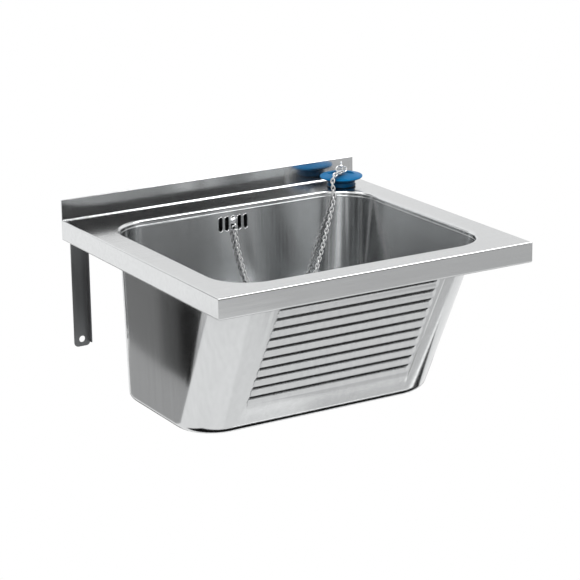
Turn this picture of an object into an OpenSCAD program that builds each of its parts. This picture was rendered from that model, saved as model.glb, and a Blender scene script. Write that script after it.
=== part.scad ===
// Wall-hung stainless service sink with a pressed washboard front.
// Origin: wall plane, middle of the width, level with the top of the deck.
// +X right, +Y into the wall, +Z up. Millimetres.

/* [Deck] */
// Overall width of the deck
deck_w = 500; // [470:5:700]
// Depth of the deck from the wall to the front edge
deck_d = 470; // [450:5:560]
// Height of the folded aprons at the front and the sides
apron_h = 30; // [20:1:45]
// Width of the hem folded in under each apron
hem_w = 10; // [6:1:11]
// Height of the upstand above the deck
upstand_h = 31; // [20:1:60]
// Depth of the flange that backs the upstand below the deck
back_flange_h = 20; // [8:1:24]
// Thickness of the steel sheet
sheet = 1.2; // [0.8:0.1:1.4]
// Outer radius of the folds along the aprons
fold_r = 2.5; // [2:0.1:4]
// Radius of the hollow fold between the deck and the upstand
cove_r = 2; // [1.5:0.1:4]

/* [Bowl] */
// Width of the bowl's mouth
mouth_w = 420; // [400:5:430]
// Strip of deck between the wall and the mouth
back_land = 64; // [60:1:80]
// Strip of deck between the mouth and the front edge
front_land = 39; // [30:1:60]
// Corner radius of the mouth
mouth_r = 60; // [45:1:75]
// Corner radius of the bowl where the walls reach the floor
foot_r = 60; // [40:1:70]
// Radius of the rolled lip at the mouth
lip_r = 4; // [3:0.5:5]
// Depth of the lip down to the weld with the bowl
lip_h = 8; // [6:1:10]
// Depth of the bowl
bowl_h = 255; // [235:1:290]
// How far each side wall leans in on its way down
side_lean = 7; // [3:1:14]
// How far the front wall leans in on its way down
front_lean = 122; // [100:1:140]
// Radius between the walls and the floor
floor_r = 14; // [10:1:20]
// Fall of the floor towards the waste
floor_fall = 4; // [2:0.5:8]

/* [Washboard] */
// Number of pressed grooves
groove_count = 10; // [6:1:10]
// Distance from one groove to the next, down the wall
groove_pitch = 18; // [16:0.2:19]
// Distance from the deck to the first groove, down the wall
groove_start = 63.5; // [58:0.5:68]
// Distance from the middle to the left end of the top groove
groove_left_top = 127; // [100:1:136]
// Distance from the middle to the left end of the lowest groove
groove_left_foot = 137; // [100:1:138]
// Distance from the middle to the right end of the top groove
groove_right_top = 136; // [100:1:136]
// Distance from the middle to the right end of the lowest groove
groove_right_foot = 134; // [100:1:136]
// Radius of the tool that presses a groove
groove_r = 4; // [3.5:0.1:5]
// Depth of a groove
groove_depth = 3; // [2:0.1:3.2]

/* [Brackets] */
// Width of the strip that lies on the wall
strip_w = 25; // [22:1:26]
// Distance from the middle of the sink to the inner edge of a strip
strip_x = 213; // [213:1:214]
// Height of a strip below the deck
strip_h = 196; // [120:1:220]
// Thickness of the bracket plate
strip_t = 2; // [1.5:0.5:3]
// Radius of the lower corners of a strip
strip_r = 6; // [2:1:9]
// Width of the stiffening flange along the inner edge
rib_w = 10; // [6:1:20]
// Length of the tab that is welded under the deck
tab_l = 52; // [30:1:56]
// Diameter of the wall screw holes
hole_d = 10; // [6:0.5:12]
// Depth of the upper hole below the deck
hole_top = 25; // [16:1:40]
// Depth of the lower hole below the deck
hole_low = 185; // [100:1:185]

/* [Waste] */
// Distance of the waste from the wall
waste_y = 140; // [135:1:180]
// Radius of the hole in the floor
waste_hole_r = 27; // [27:0.5:30]
// Radius of the seat pressed flat round the hole
seat_r = 45; // [45:1:50]
// Radius of the polished flange
flange_r = 34.5; // [33:0.5:38]
// Radius of the plug seat in the flange
plug_seat_r = 23.2; // [23:0.1:23.6]
// Radius of the threaded tail, one and a half inch pipe thread
tail_r = 23.9; // [20:0.1:26]
// Length of the threaded tail
tail_l = 18; // [12:1:30]
// Wall of the plastic fittings
plastic_t = 2.8; // [2:0.1:3.2]
// Diameter of the screw that clamps the waste
clamp_screw_d = 6; // [4:0.5:7]

/* [Overflow] */
// Number of overflow slots
slot_count = 5; // [3:2:5]
// Distance between the slots
slot_pitch = 10.6; // [9.5:0.1:11]
// Width of a slot
slot_w = 6; // [5.6:0.1:6.4]
// Height of a slot
slot_h = 22; // [20:1:24]
// Depth of the middle of the slots below the deck
slot_z = 26; // [26:1:32]
// Width of the overflow housing
housing_w = 68; // [64:1:80]
// Height of the overflow housing
housing_h = 34; // [32:1:34]
// Depth of the overflow housing
housing_d = 30; // [28:1:32]
// Outer radius of the overflow pipe
pipe_r = 10; // [8:0.1:10.2]
// Distance of the pipe from the wall
pipe_y = 44; // [43:0.5:46]
// Bend radius of the pipe
bend_r = 22; // [18:1:24]
// Diameter of the overflow screw
stay_screw_d = 5; // [4:0.5:5]

/* [Plug] */
// Position of the parked plug across the sink
plug_x = 201.6; // [200:0.1:210]
// Distance of the parked plug from the wall
plug_y = 46.5; // [44:0.1:47]
// Radius of the plug's flange
plug_flange_r = 33; // [31:0.5:33]
// Radius of the plug's foot
plug_foot_r = 22.4; // [20:0.1:22.6]
// Height of the flange's underside above the foot
plug_skirt_h = 13; // [11:0.5:15]
// Height of the dome above the rim of the flange
dome_h = 5.5; // [5:0.5:8]
// Thickness of the rubber
rubber_t = 3; // [2.5:0.1:3.5]
// Height of the eye in the post above the flange's rim
eye_h = 15; // [15:0.5:18]
// Radius of the ring in the post, at the middle of its wire
ring_r = 8; // [8:0.5:9]
// Diameter of the ring's wire
ring_wire = 2; // [1.6:0.1:2]

/* [Chain] */
// Diameter of the links' wire
wire = 1.6; // [1.2:0.1:1.6]
// Clear width inside a link
link_gap = 2.5; // [2:0.1:2.5]
// Distance from one link to the next
link_pitch = 5.6; // [5.2:0.1:6]

/* [Hidden] */
$fn = 64;

steel = "#b9bdbf";
chrome_tint = "#d6d9dc";
rubber_tint = "#26282a";
plastic_tint = "#e6e6e2";
plug_tint = "#1478c8";

eps = 0.01;                 // overshoot of a cut past the face that it opens
seat_gap = 0.3;             // gap between curved faces that only meet loosely
thread_gap = 0.1;           // gap between a screw and the plastic that it turns in

// The mouth and the walls of the bowl, inner faces
mouth_back = -back_land;
mouth_front = -(deck_d - front_land);
mouth_d = mouth_back - mouth_front;
mouth_cy = (mouth_back + mouth_front) / 2;
wall_drop = bowl_h - lip_h;
front_slope = atan(front_lean / wall_drop);
front_t = sheet / cos(front_slope);

corner_steps = 8;           // segments in each corner of the bowl
side_steps = 2;             // segments in each straight side of the bowl
fillet_steps = 5;           // rings from the walls to the floor

// Floor levels
seat_out_z = -(bowl_h + floor_fall);
seat_in_z = seat_out_z + sheet;

// ---------------------------------------------------------------- deck

// Sweeps a section round a rounded rectangle centred on the origin. In the
// section x is the distance outwards from the rectangle and y is up.
module round_frame(w, d, r) {
    for (c = [[1, 1, 0], [-1, 1, 90], [-1, -1, 180], [1, -1, 270]])
        translate([c[0] * (w / 2 - r), c[1] * (d / 2 - r), 0])
            rotate([0, 0, c[2]])
                rotate_extrude(angle = 90) translate([r, 0]) children();
    for (s = [[w / 2, d - 2 * r, 0], [d / 2, w - 2 * r, 90],
              [w / 2, d - 2 * r, 180], [d / 2, w - 2 * r, 270]])
        rotate([0, 0, s[2]])
            translate([s[0], s[1] / 2, 0]) rotate([90, 0, 0])
                linear_extrude(s[1]) children();
}

module rounded_rect(w, d, r) {
    for (x = [-1, 1], y = [-1, 1])
        translate([x * (w / 2 - r), y * (d / 2 - r)]) circle(r);
    square([w - 2 * r, d], center = true);
    square([w, d - 2 * r], center = true);
}

// Quarter of a bent sheet about a centre, in the quadrant given by signs
module bend(cx, cy, outer, sx, sy) {
    translate([cx, cy])
        intersection() {
            difference() {
                circle(outer);
                circle(outer - sheet);
            }
            translate([sx > 0 ? 0 : -outer, sy > 0 ? 0 : -outer]) square(outer);
        }
}

// Section of an apron: x runs inwards from its outer face
module apron_section() {
    bend(fold_r, -fold_r, fold_r, -1, 1);
    translate([0, -apron_h + fold_r]) square([sheet, apron_h - 2 * fold_r]);
    bend(fold_r, -apron_h + fold_r, fold_r, -1, -1);
    translate([fold_r, -apron_h]) square([hem_w - fold_r, sheet]);
}

// Section of the upstand: x is the frame's Y, y is Z
module upstand_section() {
    front_face = -2 * sheet;
    bend(front_face - cove_r, cove_r, cove_r + sheet, 1, -1);
    translate([front_face, cove_r])
        square([sheet, upstand_h - sheet - cove_r]);
    translate([-sheet, -sheet]) square([sheet, upstand_h]);
    translate([-sheet, upstand_h - sheet])
        intersection() {
            circle(sheet);
            translate([-sheet, 0]) square([2 * sheet, sheet]);
        }
}

// Section of the lip that turns down round the mouth
module lip_section() {
    bend(lip_r, -lip_r, lip_r, -1, 1);
    translate([0, -lip_h]) square([sheet, lip_h - lip_r]);
}

module front_apron() {
    intersection() {
        translate([-deck_w / 2, -deck_d, 0])
            rotate([90, 0, 90]) linear_extrude(deck_w) apron_section();
        translate([0, 0, -apron_h - 1]) linear_extrude(apron_h + 2)
            polygon([[-deck_w / 2, -deck_d], [deck_w / 2, -deck_d],
                     [deck_w / 2 - hem_w, -deck_d + hem_w],
                     [-deck_w / 2 + hem_w, -deck_d + hem_w]]);
    }
}

module left_apron() {
    intersection() {
        translate([-deck_w / 2, 0, 0])
            rotate([90, 0, 0]) linear_extrude(deck_d) apron_section();
        translate([0, 0, -apron_h - 1]) linear_extrude(apron_h + 2)
            polygon([[-deck_w / 2, 0], [-deck_w / 2, -deck_d],
                     [-deck_w / 2 + hem_w, -deck_d + hem_w],
                     [-deck_w / 2 + hem_w, 0]]);
    }
}

module deck() {
    plate_back = -2 * sheet - cove_r;
    flange_x = strip_x - 4;             // the back flange ends short of the strips
    color(steel) {
        translate([0, 0, -sheet]) linear_extrude(sheet)
            difference() {
                translate([-deck_w / 2 + fold_r, -deck_d + fold_r])
                    square([deck_w - 2 * fold_r, deck_d - fold_r + plate_back]);
                translate([0, mouth_cy])
                    rounded_rect(mouth_w + 2 * lip_r, mouth_d + 2 * lip_r, mouth_r + lip_r);
            }
        translate([0, mouth_cy, 0]) round_frame(mouth_w, mouth_d, mouth_r) lip_section();
        front_apron();
        left_apron();
        mirror([1, 0, 0]) left_apron();
        translate([-deck_w / 2, 0, 0])
            rotate([90, 0, 90]) linear_extrude(deck_w) upstand_section();
        translate([-flange_x, -sheet, -back_flange_h])
            cube([2 * flange_x, sheet, back_flange_h]);
    }
}

// ---------------------------------------------------------------- bowl

// How far down the walls a level lies, from 0 at the weld to 1 at the foot
function down(z) = (-lip_h - z) / wall_drop;

// Ring of the bowl at level z, drawn in by inset, with its faces pushed out
// by skin: 0 for the inner face and the sheet's thickness for the outer one
function ring(z, inset, skin) =
    let (hx = mouth_w / 2 - side_lean * down(z) - inset + skin,
         yb = mouth_back - inset + skin,
         yf = mouth_front + front_lean * down(z) + inset
              - skin / cos(front_slope),
         r = mouth_r + (foot_r - mouth_r) * down(z) - inset + skin,
         corners = [for (c = [0:3])
             let (cx = (c == 0 || c == 3) ? hx - r : r - hx,
                  cy = c < 2 ? yb - r : yf + r)
             [for (i = [0:corner_steps])
                 let (a = 90 * (c + i / corner_steps)) [cx + r * cos(a), cy + r * sin(a), z]]])
    [for (c = [0:3])
        let (from = corners[c][corner_steps], to = corners[(c + 1) % 4][0])
        each concat(corners[c],
                    [for (k = [1:side_steps - 1]) from + (to - from) * k / side_steps])];

// The same number of points drawn in to a circle round the waste
function seat_ring(points, z, r) =
    [for (p = points)
        let (x = p[0], y = p[1] + waste_y, l = sqrt(x * x + y * y))
        [x / l * r, y / l * r - waste_y, z]];

// Rings from the mouth down to the seat of the waste
function bowl_rings(top_z, skin) =
    let (centre_z = -bowl_h + floor_r,
         r = floor_r - sheet + skin,
         fillet = [for (k = [0:fillet_steps])
             let (a = 90 * k / fillet_steps)
             ring(centre_z - r * sin(a), r * (1 - cos(a)), skin)],
         last = fillet[fillet_steps],
         seat_z = centre_z - r - floor_fall)
    concat([ring(top_z, 0, skin)], fillet, [seat_ring(last, seat_z, seat_r)]);

module loft(rings) {
    n = len(rings[0]);
    m = len(rings);
    points = [for (r = rings) each r];
    walls = [for (k = [0:m - 2], i = [0:n - 1])
        let (a = k * n + i, b = k * n + (i + 1) % n)
        each [[a, b, a + n], [b, b + n, a + n]]];
    lids = [[for (i = [n - 1:-1:0]) i],
            [for (i = [0:n - 1]) (m - 1) * n + i]];
    polyhedron(points, concat(walls, lids));
}

// Point of the front wall's outer face at a distance down from the deck
function front_y(s) =
    mouth_front - front_t + (s * cos(front_slope) - lip_h) * tan(front_slope);
function front_z(s) = -s * cos(front_slope);

// Groove number i with round ends, for a given tool radius. Its axis stands
// out from the wall by what the tool does not press in.
module groove(i, r) {
    s = groove_start + i * groove_pitch;
    out = groove_r - groove_depth;
    part = i / (groove_count - 1);
    from = groove_r - groove_left_top + (groove_left_top - groove_left_foot) * part;
    to = groove_right_top + (groove_right_foot - groove_right_top) * part - groove_r;
    translate([from, front_y(s) - out * cos(front_slope), front_z(s) - out * sin(front_slope)])
        rotate([0, 90, 0]) {
            cylinder(h = to - from, r = r);
            for (z = [0, to - from]) translate([0, 0, z]) sphere(r);
        }
}

module grooves(r) {
    for (i = [0:groove_count - 1]) groove(i, r);
}

module overflow_slots() {
    first = -(slot_count - 1) / 2 * slot_pitch;
    for (i = [0:slot_count - 1])
        translate([first + i * slot_pitch, mouth_back, -slot_z])
            rotate([90, 0, 0]) {
                cube([slot_w, slot_h - slot_w, 6 * sheet], center = true);
                for (e = [-1, 1])
                    translate([0, e * (slot_h - slot_w) / 2, 0])
                        cylinder(h = 6 * sheet, d = slot_w, center = true);
            }
}

module bowl() {
    color(steel)
        difference() {
            loft(bowl_rings(-lip_h, sheet));
            difference() {
                loft(bowl_rings(-lip_h + 1, 0));
                grooves(groove_r + sheet);
            }
            grooves(groove_r);
            overflow_slots();
            translate([0, -waste_y, seat_out_z - 1])
                cylinder(h = sheet + 2, r = waste_hole_r);
        }
}

// ------------------------------------------------------------- brackets

module bracket() {
    strip_top = -sheet;
    difference() {
        rotate([90, 0, 0]) linear_extrude(strip_t)
            union() {
                translate([strip_x + strip_r, -strip_h])
                    square([strip_w - 2 * strip_r, strip_h + strip_top]);
                translate([strip_x, -strip_h + strip_r])
                    square([strip_w, strip_h - strip_r + strip_top]);
                for (x = [strip_x + strip_r, strip_x + strip_w - strip_r])
                    translate([x, -strip_h + strip_r]) circle(strip_r);
            }
        for (z = [hole_top, hole_low])
            translate([strip_x + strip_w / 2, 0, -z])
                rotate([90, 0, 0]) cylinder(h = 4 * strip_t, d = hole_d, center = true);
    }
    translate([strip_x, -rib_w, -strip_h + strip_r])
        cube([strip_t, rib_w, strip_h - strip_r + strip_top]);
    translate([strip_x, -tab_l, strip_top - strip_t]) cube([strip_w, tab_l, strip_t]);
}

module right_bracket() {
    color(steel) bracket();
}

module left_bracket() {
    color(steel) mirror([1, 0, 0]) bracket();
}

// ---------------------------------------------------------------- waste

seal_t = 1.5;                           // rubber ring under the flange
gasket_t = 3;                           // rubber ring under the floor
rim_t = 1.2;                            // metal of the flange
cup_depth = 16;                         // strainer cup, below the floor
cup_z = seat_in_z - cup_depth;          // underside of the strainer cup
collar_t = 4;                           // collar of the waste body
collar_z = seat_out_z - gasket_t;       // top of the collar
cup_r = waste_hole_r + 1;               // bore of the waste body
cup_h = 26;                             // height of the body's cup
inlet_drop = 13.5;                      // axis of the side inlet below the collar
inlet_z = collar_z - inlet_drop;
boss_r = clamp_screw_d / 2 + 3;
boss_z = collar_z - cup_h;              // where the cup narrows to the tail
neck = 4;                               // height of the cone down to the tail
bar_w = 3;                              // width of the bars that carry the boss

module waste_flange() {
    tube_r = plug_seat_r + rim_t;
    rim_z = seat_in_z + seal_t;
    color(chrome_tint)
        translate([0, -waste_y, 0])
            difference() {
                rotate_extrude() {
                    polygon([[plug_seat_r, rim_z], [tube_r, rim_z + rim_t - 0.2],
                             [flange_r - 1.5, rim_z + rim_t], [flange_r, rim_z + rim_t / 2],
                             [flange_r, rim_z], [tube_r, rim_z], [tube_r - 1, cup_z], [0, cup_z],
                             [0, cup_z + rim_t], [plug_seat_r - 1, cup_z + rim_t]]);
                }
                for (a = [0:45:315])
                    rotate([0, 0, a]) translate([14, 0, cup_z - 1]) cylinder(h = rim_t + 2, r = 4);
                translate([0, 0, cup_z - 1])
                    cylinder(h = rim_t + 2, d = clamp_screw_d + 2 * seat_gap);
            }
}

module waste_seal() {
    color(rubber_tint)
        translate([0, -waste_y, seat_in_z])
            difference() {
                cylinder(h = seal_t, r = flange_r - 0.5);
                translate([0, 0, -1]) cylinder(h = seal_t + 2, r = waste_hole_r);
            }
}

module waste_gasket() {
    color(rubber_tint)
        translate([0, -waste_y, collar_z])
            difference() {
                cylinder(h = gasket_t, r = cup_r + plastic_t + 6);
                translate([0, 0, -1]) cylinder(h = gasket_t + 2, r = waste_hole_r);
            }
}

// The cup under the floor, with its tail, clamping boss and side inlet
module waste_body() {
    outer = cup_r + plastic_t;
    tail_bore = tail_r - plastic_t;
    tail_z = boss_z - neck;
    bar_z = boss_z + 1;
    color(plastic_tint)
        translate([0, -waste_y, 0]) {
            difference() {
                union() {
                    rotate_extrude()
                        polygon([[0, collar_z], [outer + 6, collar_z],
                                 [outer + 6, collar_z - collar_t], [outer, collar_z - collar_t],
                                 [outer, boss_z], [tail_r, tail_z], [tail_r, tail_z - tail_l],
                                 [0, tail_z - tail_l]]);
                    translate([0, 0, inlet_z]) rotate([-90, 0, 0])
                        cylinder(h = outer + socket_l, r = socket_r);
                }
                rotate_extrude()
                    polygon([[0, collar_z + 1], [cup_r, collar_z + 1], [cup_r, boss_z],
                             [tail_bore, tail_z], [tail_bore, tail_z - tail_l - 1],
                             [0, tail_z - tail_l - 1]]);
                translate([0, 0, inlet_z]) rotate([-90, 0, 0])
                    cylinder(h = outer + socket_l + 1, r = socket_bore);
            }
            difference() {
                union() {
                    for (a = [45, 135]) rotate([0, 0, a])
                        translate([-cup_r - 1, -bar_w / 2, bar_z]) cube([2 * cup_r + 2, bar_w, 5]);
                    translate([0, 0, bar_z]) cylinder(h = 7, r = boss_r);
                }
                translate([0, 0, bar_z - 1])
                    cylinder(h = 9, d = clamp_screw_d + 2 * thread_gap);
            }
        }
}

module waste_screw() {
    head_r = clamp_screw_d / 2 + 2.6;
    head_z = cup_z + rim_t;
    color(chrome_tint)
        translate([0, -waste_y, 0])
            difference() {
                union() {
                    translate([0, 0, boss_z - 2]) cylinder(h = head_z - boss_z + 2, d = clamp_screw_d);
                    translate([0, 0, head_z]) cylinder(h = 2.4, r1 = head_r, r2 = head_r - 1);
                }
                translate([0, 0, head_z + 2.4]) cube([4 * head_r, 1.4, 2.4], center = true);
            }
}

// ------------------------------------------------------------- overflow

back_out = mouth_back + sheet;          // outer face of the bowl's back wall
pad_t = 2.5;                            // rubber between the wall and the housing
housing_front = back_out + pad_t;
housing_z = -slot_z;
housing_low = housing_z - housing_h / 2;
window_w = (slot_count - 1) * slot_pitch + slot_w + 2;
window_h = slot_h + 2;
socket_bore = pipe_r + seat_gap;        // bore of the two pipe sockets
socket_r = socket_bore + 2.4;
socket_l = 26;                          // length of a pipe socket
insert_l = 12;                          // how far the pipe goes in
cone_t = 4;                             // thickness of the sealing cones
nut_r = socket_r + 3.1;
nut_l = 16;
nut_lip = 2.5;
screw_z = housing_z + 4;                // the screw that holds the chain's stay

// A plate with rounded corners standing on the back wall, from y0 to y1
module back_plate(w, h, r, y0, y1) {
    translate([0, y1, housing_z]) rotate([90, 0, 0])
        linear_extrude(y1 - y0) rounded_rect(w, h, r);
}

module screw_bore(y0, y1, d) {
    translate([0, y1, screw_z]) rotate([90, 0, 0]) cylinder(h = y1 - y0, d = d);
}

module overflow_gasket() {
    color(rubber_tint)
        difference() {
            back_plate(housing_w, housing_h, 8, back_out, housing_front);
            back_plate(window_w, window_h, 4, back_out - 1, housing_front + 1);
        }
}

module overflow_housing() {
    rear = housing_front + housing_d;
    color(plastic_tint)
        difference() {
            union() {
                difference() {
                    back_plate(housing_w, housing_h, 8, housing_front, rear);
                    back_plate(housing_w - 2 * plastic_t, housing_h - 2 * plastic_t,
                               8 - plastic_t, housing_front - 1, rear - plastic_t);
                }
                screw_bore(housing_front, rear, 2 * boss_r);
                difference() {
                    translate([0, -pipe_y, housing_low - socket_l])
                        cylinder(h = socket_l + plastic_t, r = socket_r);
                    translate([0, -pipe_y, housing_low - socket_l - 1])
                        cylinder(h = socket_l + plastic_t + 2, r = socket_bore);
                }
            }
            translate([0, -pipe_y, housing_low - 1]) cylinder(h = plastic_t + 2, r = socket_bore);
            screw_bore(housing_front - 1, rear - plastic_t, stay_screw_d + 2 * thread_gap);
        }
}

module overflow_screw() {
    head_y = mouth_back - stay_t;
    head_r = stay_screw_d / 2 + 2;
    reach = 20;                         // screw inside the housing
    color(chrome_tint)
        difference() {
            union() {
                screw_bore(head_y, housing_front + reach, stay_screw_d);
                translate([0, head_y, screw_z]) rotate([90, 0, 0]) {
                    cylinder(h = 1, r = head_r);
                    translate([0, 0, 1]) cylinder(h = 1.8, r1 = head_r, r2 = head_r - 1.8);
                }
            }
            translate([0, head_y - 2.8, screw_z]) cube([4 * head_r, 2.4, 1.2], center = true);
        }
}

// Rigid pipe from the housing, down behind the bowl and forward to the waste
pipe_top = housing_low - socket_l + insert_l;
inlet_end = -waste_y + cup_r + plastic_t + socket_l;
pipe_end = inlet_end - insert_l;
module overflow_pipe() {
    down_l = pipe_top - inlet_z - bend_r;
    run_l = -pipe_y - bend_r - pipe_end;
    color(plastic_tint) {
        translate([0, -pipe_y, inlet_z + bend_r]) pipe_length(down_l);
        translate([0, -pipe_y - bend_r, inlet_z + bend_r])
            rotate([0, 90, 0])
                rotate_extrude(angle = 90)
                    translate([bend_r, 0]) difference() {
                        circle(pipe_r);
                        circle(pipe_r - 1.6);
                    }
        translate([0, -pipe_y - bend_r, inlet_z]) rotate([90, 0, 0]) pipe_length(run_l);
    }
}

module pipe_length(l) {
    difference() {
        cylinder(h = l, r = pipe_r);
        translate([0, 0, -eps]) cylinder(h = l + 2 * eps, r = pipe_r - 1.6);
    }
}

// Slip nut: its mouth faces up and its lip holds the sealing cone
module slip_nut() {
    grips = 12;
    difference() {
        cylinder(h = nut_l, r = nut_r);
        translate([0, 0, nut_lip]) cylinder(h = nut_l, r = socket_r + thread_gap);
        translate([0, 0, -1]) cylinder(h = nut_l, r = pipe_r + seat_gap);
        for (i = [0:grips - 1])
            rotate([0, 0, i * 360 / grips]) translate([nut_r + 1.4, 0, -1])
                cylinder(h = nut_l + 2, r = 2.4);
    }
}

module seal_cone() {
    rotate_extrude()
        polygon([[pipe_r + thread_gap, 0], [socket_r, 0], [socket_r, cone_t - 1.5],
                 [socket_r - 0.8, cone_t], [pipe_r + thread_gap, cone_t]]);
}

housing_nut_z = housing_low - socket_l - cone_t - nut_lip;
inlet_nut_y = inlet_end + cone_t + nut_lip;

module housing_nut() {
    color(plastic_tint) translate([0, -pipe_y, housing_nut_z]) slip_nut();
}

module housing_seal() {
    color(rubber_tint) translate([0, -pipe_y, housing_nut_z + nut_lip]) seal_cone();
}

module inlet_nut() {
    color(plastic_tint) translate([0, inlet_nut_y, inlet_z]) rotate([90, 0, 0]) slip_nut();
}

module inlet_seal() {
    color(rubber_tint)
        translate([0, inlet_nut_y - nut_lip, inlet_z]) rotate([90, 0, 0]) seal_cone();
}

// ---------------------------------------------------------------- chain

stay_t = 1;                             // metal of the stay
lug_t = 1.2;
lug_r = 2.8;
lug_y = mouth_back - 5.5;               // hole in the lug, where the ring hangs
lug_z = screw_z - 6.5;
stay_ring_r = 4.5;
stay_wire = 1.2;
lug_bore_r = 1.3;

// Washer under the screw's head with a lug that stands out of the wall
module chain_stay() {
    color(chrome_tint) {
        difference() {
            translate([0, mouth_back, screw_z]) rotate([90, 0, 0])
                cylinder(h = stay_t, r = stay_screw_d / 2 + 3);
            screw_bore(mouth_back - 2, mouth_back + 1, stay_screw_d + 2 * thread_gap);
        }
        difference() {
            union() {
                translate([0, lug_y, lug_z]) rotate([0, 90, 0])
                    cylinder(h = lug_t, r = lug_r, center = true);
                translate([-lug_t / 2, lug_y, lug_z - lug_r])
                    cube([lug_t, mouth_back - lug_y, 1.5 * lug_r]);
            }
            translate([0, lug_y, lug_z]) rotate([0, 90, 0])
                cylinder(h = 4 * lug_t, r = lug_bore_r, center = true);
        }
    }
}

stay_ring_z = lug_z - stay_ring_r + (lug_bore_r - stay_wire / 2 - 0.15);
module stay_ring() {
    color(chrome_tint)
        translate([0, lug_y, stay_ring_z]) rotate([90, 0, 0])
            rotate_extrude() translate([stay_ring_r, 0]) circle(d = stay_wire);
}

// Middle line of the chain, from the ring at the stay, down into the bowl in
// a slack loop and up to the rim of the mouth
chain_route = [
    [0, -69.5, -36], [3, -69.6, -55], [7, -69.8, -75], [12, -70, -95], [18, -70.2, -114],
    [26, -70.4, -132], [36, -70.6, -149], [48, -70.8, -162], [62, -71, -171],
    [77, -71.2, -175], [92, -71.4, -174], [106, -71.6, -168], [118, -71.8, -158],
    [128, -72, -144], [137, -72.2, -125], [145, -72.4, -103], [152, -72.5, -81],
    [159, -72.5, -58], [165.5, -72.4, -36], [170.5, -72.2, -18], [173, -71.8, -5]];

// The rest of it, over the rim and the plug's flange to the ring in the post
lead_route = [
    [173, -71.8, -5], [172.8, -71, 0], [171.8, -70.4, 6], [171.3, -69.9, 12],
    [172.6, -69.1, 18], [176.3, -67.3, 22.7], [182, -64.6, 25],
    [188.5, -61.4, 24.9], [196.2, -57.8, 23.4]];

// Smooth curve through a list of points, with a few samples between each two
samples = 12;
function between(a, b, c, d, t) =
    0.5 * (2 * b + (c - a) * t + (2 * a - 5 * b + 4 * c - d) * t * t
           + (3 * b - a - 3 * c + d) * t * t * t);
function curve(p) =
    let (n = len(p))
    [for (i = [0:n - 2], k = [0:samples - 1])
        between(p[max(i - 1, 0)], p[i], p[i + 1], p[min(i + 2, n - 1)], k / samples),
     p[n - 1]];

// Joints of the links: points of a curve, each one pitch from the last
function step_from(line, from, i) =
    i >= len(line) ? undef : norm(line[i] - from) >= link_pitch ? i : step_from(line, from, i + 1);
function on_segment(a, b, from) =
    let (d = b - a, f = a - from, qa = d * d, qb = 2 * (f * d), qc = f * f - link_pitch * link_pitch,
         t = (-qb + sqrt(max(qb * qb - 4 * qa * qc, 0))) / (2 * qa))
    a + min(max(t, 0), 1) * d;
function joints(line, from, i) =
    let (j = step_from(line, from, i))
    is_undef(j) ? [from]
        : let (p = on_segment(line[j - 1], line[j], from)) concat([from], joints(line, p, j));

lead_line = curve(lead_route);
whole_line = concat(curve(chain_route), [for (i = [1:len(lead_line) - 1]) lead_line[i]]);
all_joints = joints(whole_line, whole_line[0], 1);
link_count = len(all_joints) - 1;

// The link that crosses the rim is the first one of the lead
rim_link = len(joints(curve(chain_route), chain_route[0], 1)) - 1;

function unit(v) = v / norm(v);

// Link number i lies between two joints and is turned by half a right angle
// one way or the other. The last one stands nearly upright round the ring.
module place_link(i) {
    a = all_joints[i];
    b = all_joints[i + 1];
    along = unit(b - a);
    side = unit(cross(along, [0, 1, 0]));
    face = cross(along, side);
    turn = i == link_count - 1 ? 15 : i % 2 == 0 ? 45 : -45;
    u = cos(turn) * side + sin(turn) * face;
    v = cross(along, u);
    mid = (a + b) / 2;
    multmatrix([[u[0], v[0], along[0], mid[0]],
                [u[1], v[1], along[1], mid[1]],
                [u[2], v[2], along[2], mid[2]],
                [0, 0, 0, 1]]) children();
}

// The first and the last link are wider, because they take the wire of a ring
end_link_gap = 3.8;

// Oval link standing on z, flat in the x-z plane, with a clear width inside
module link(gap) {
    play = 0.4;
    bend_at = (gap + wire) / 2;
    straight = link_pitch + play - gap;
    for (e = [-1, 1]) {
        translate([e * bend_at, 0, 0]) cylinder(h = straight, d = wire, center = true, $fn = 24);
        translate([0, 0, e * straight / 2]) rotate([90, 0, 0]) rotate([0, 0, e > 0 ? 0 : 180])
            rotate_extrude(angle = 180, $fn = 24) translate([bend_at, 0]) circle(d = wire, $fn = 24);
    }
}

module chain() {
    color(chrome_tint) {
        place_link(0) link(end_link_gap);
        for (i = [1:rim_link - 1]) place_link(i) link(link_gap);
    }
}

module chain_lead() {
    color(chrome_tint) {
        for (i = [rim_link:link_count - 2]) place_link(i) link(link_gap);
        place_link(link_count - 1) link(end_link_gap);
    }
}

// ----------------------------------------------------------------- plug

plug_rim_z = plug_skirt_h + rubber_t;   // top of the flange at its rim
dome_top_z = plug_rim_z + dome_h;
eye_z = plug_rim_z + eye_h;
eye_turn = -30.6;                       // the eye's bore runs across the plug
ring_tilt = 28;                         // how far the resting ring hangs down
eye_bore_r = ring_wire / 2 + 0.35;
eye_r = eye_bore_r + 2;
post_r = 2.2;

// Height of the dome's outer face at a distance from its axis
function dome_z(r) = plug_rim_z + dome_h * (1 - pow(r / plug_flange_r, 1.5));

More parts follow.
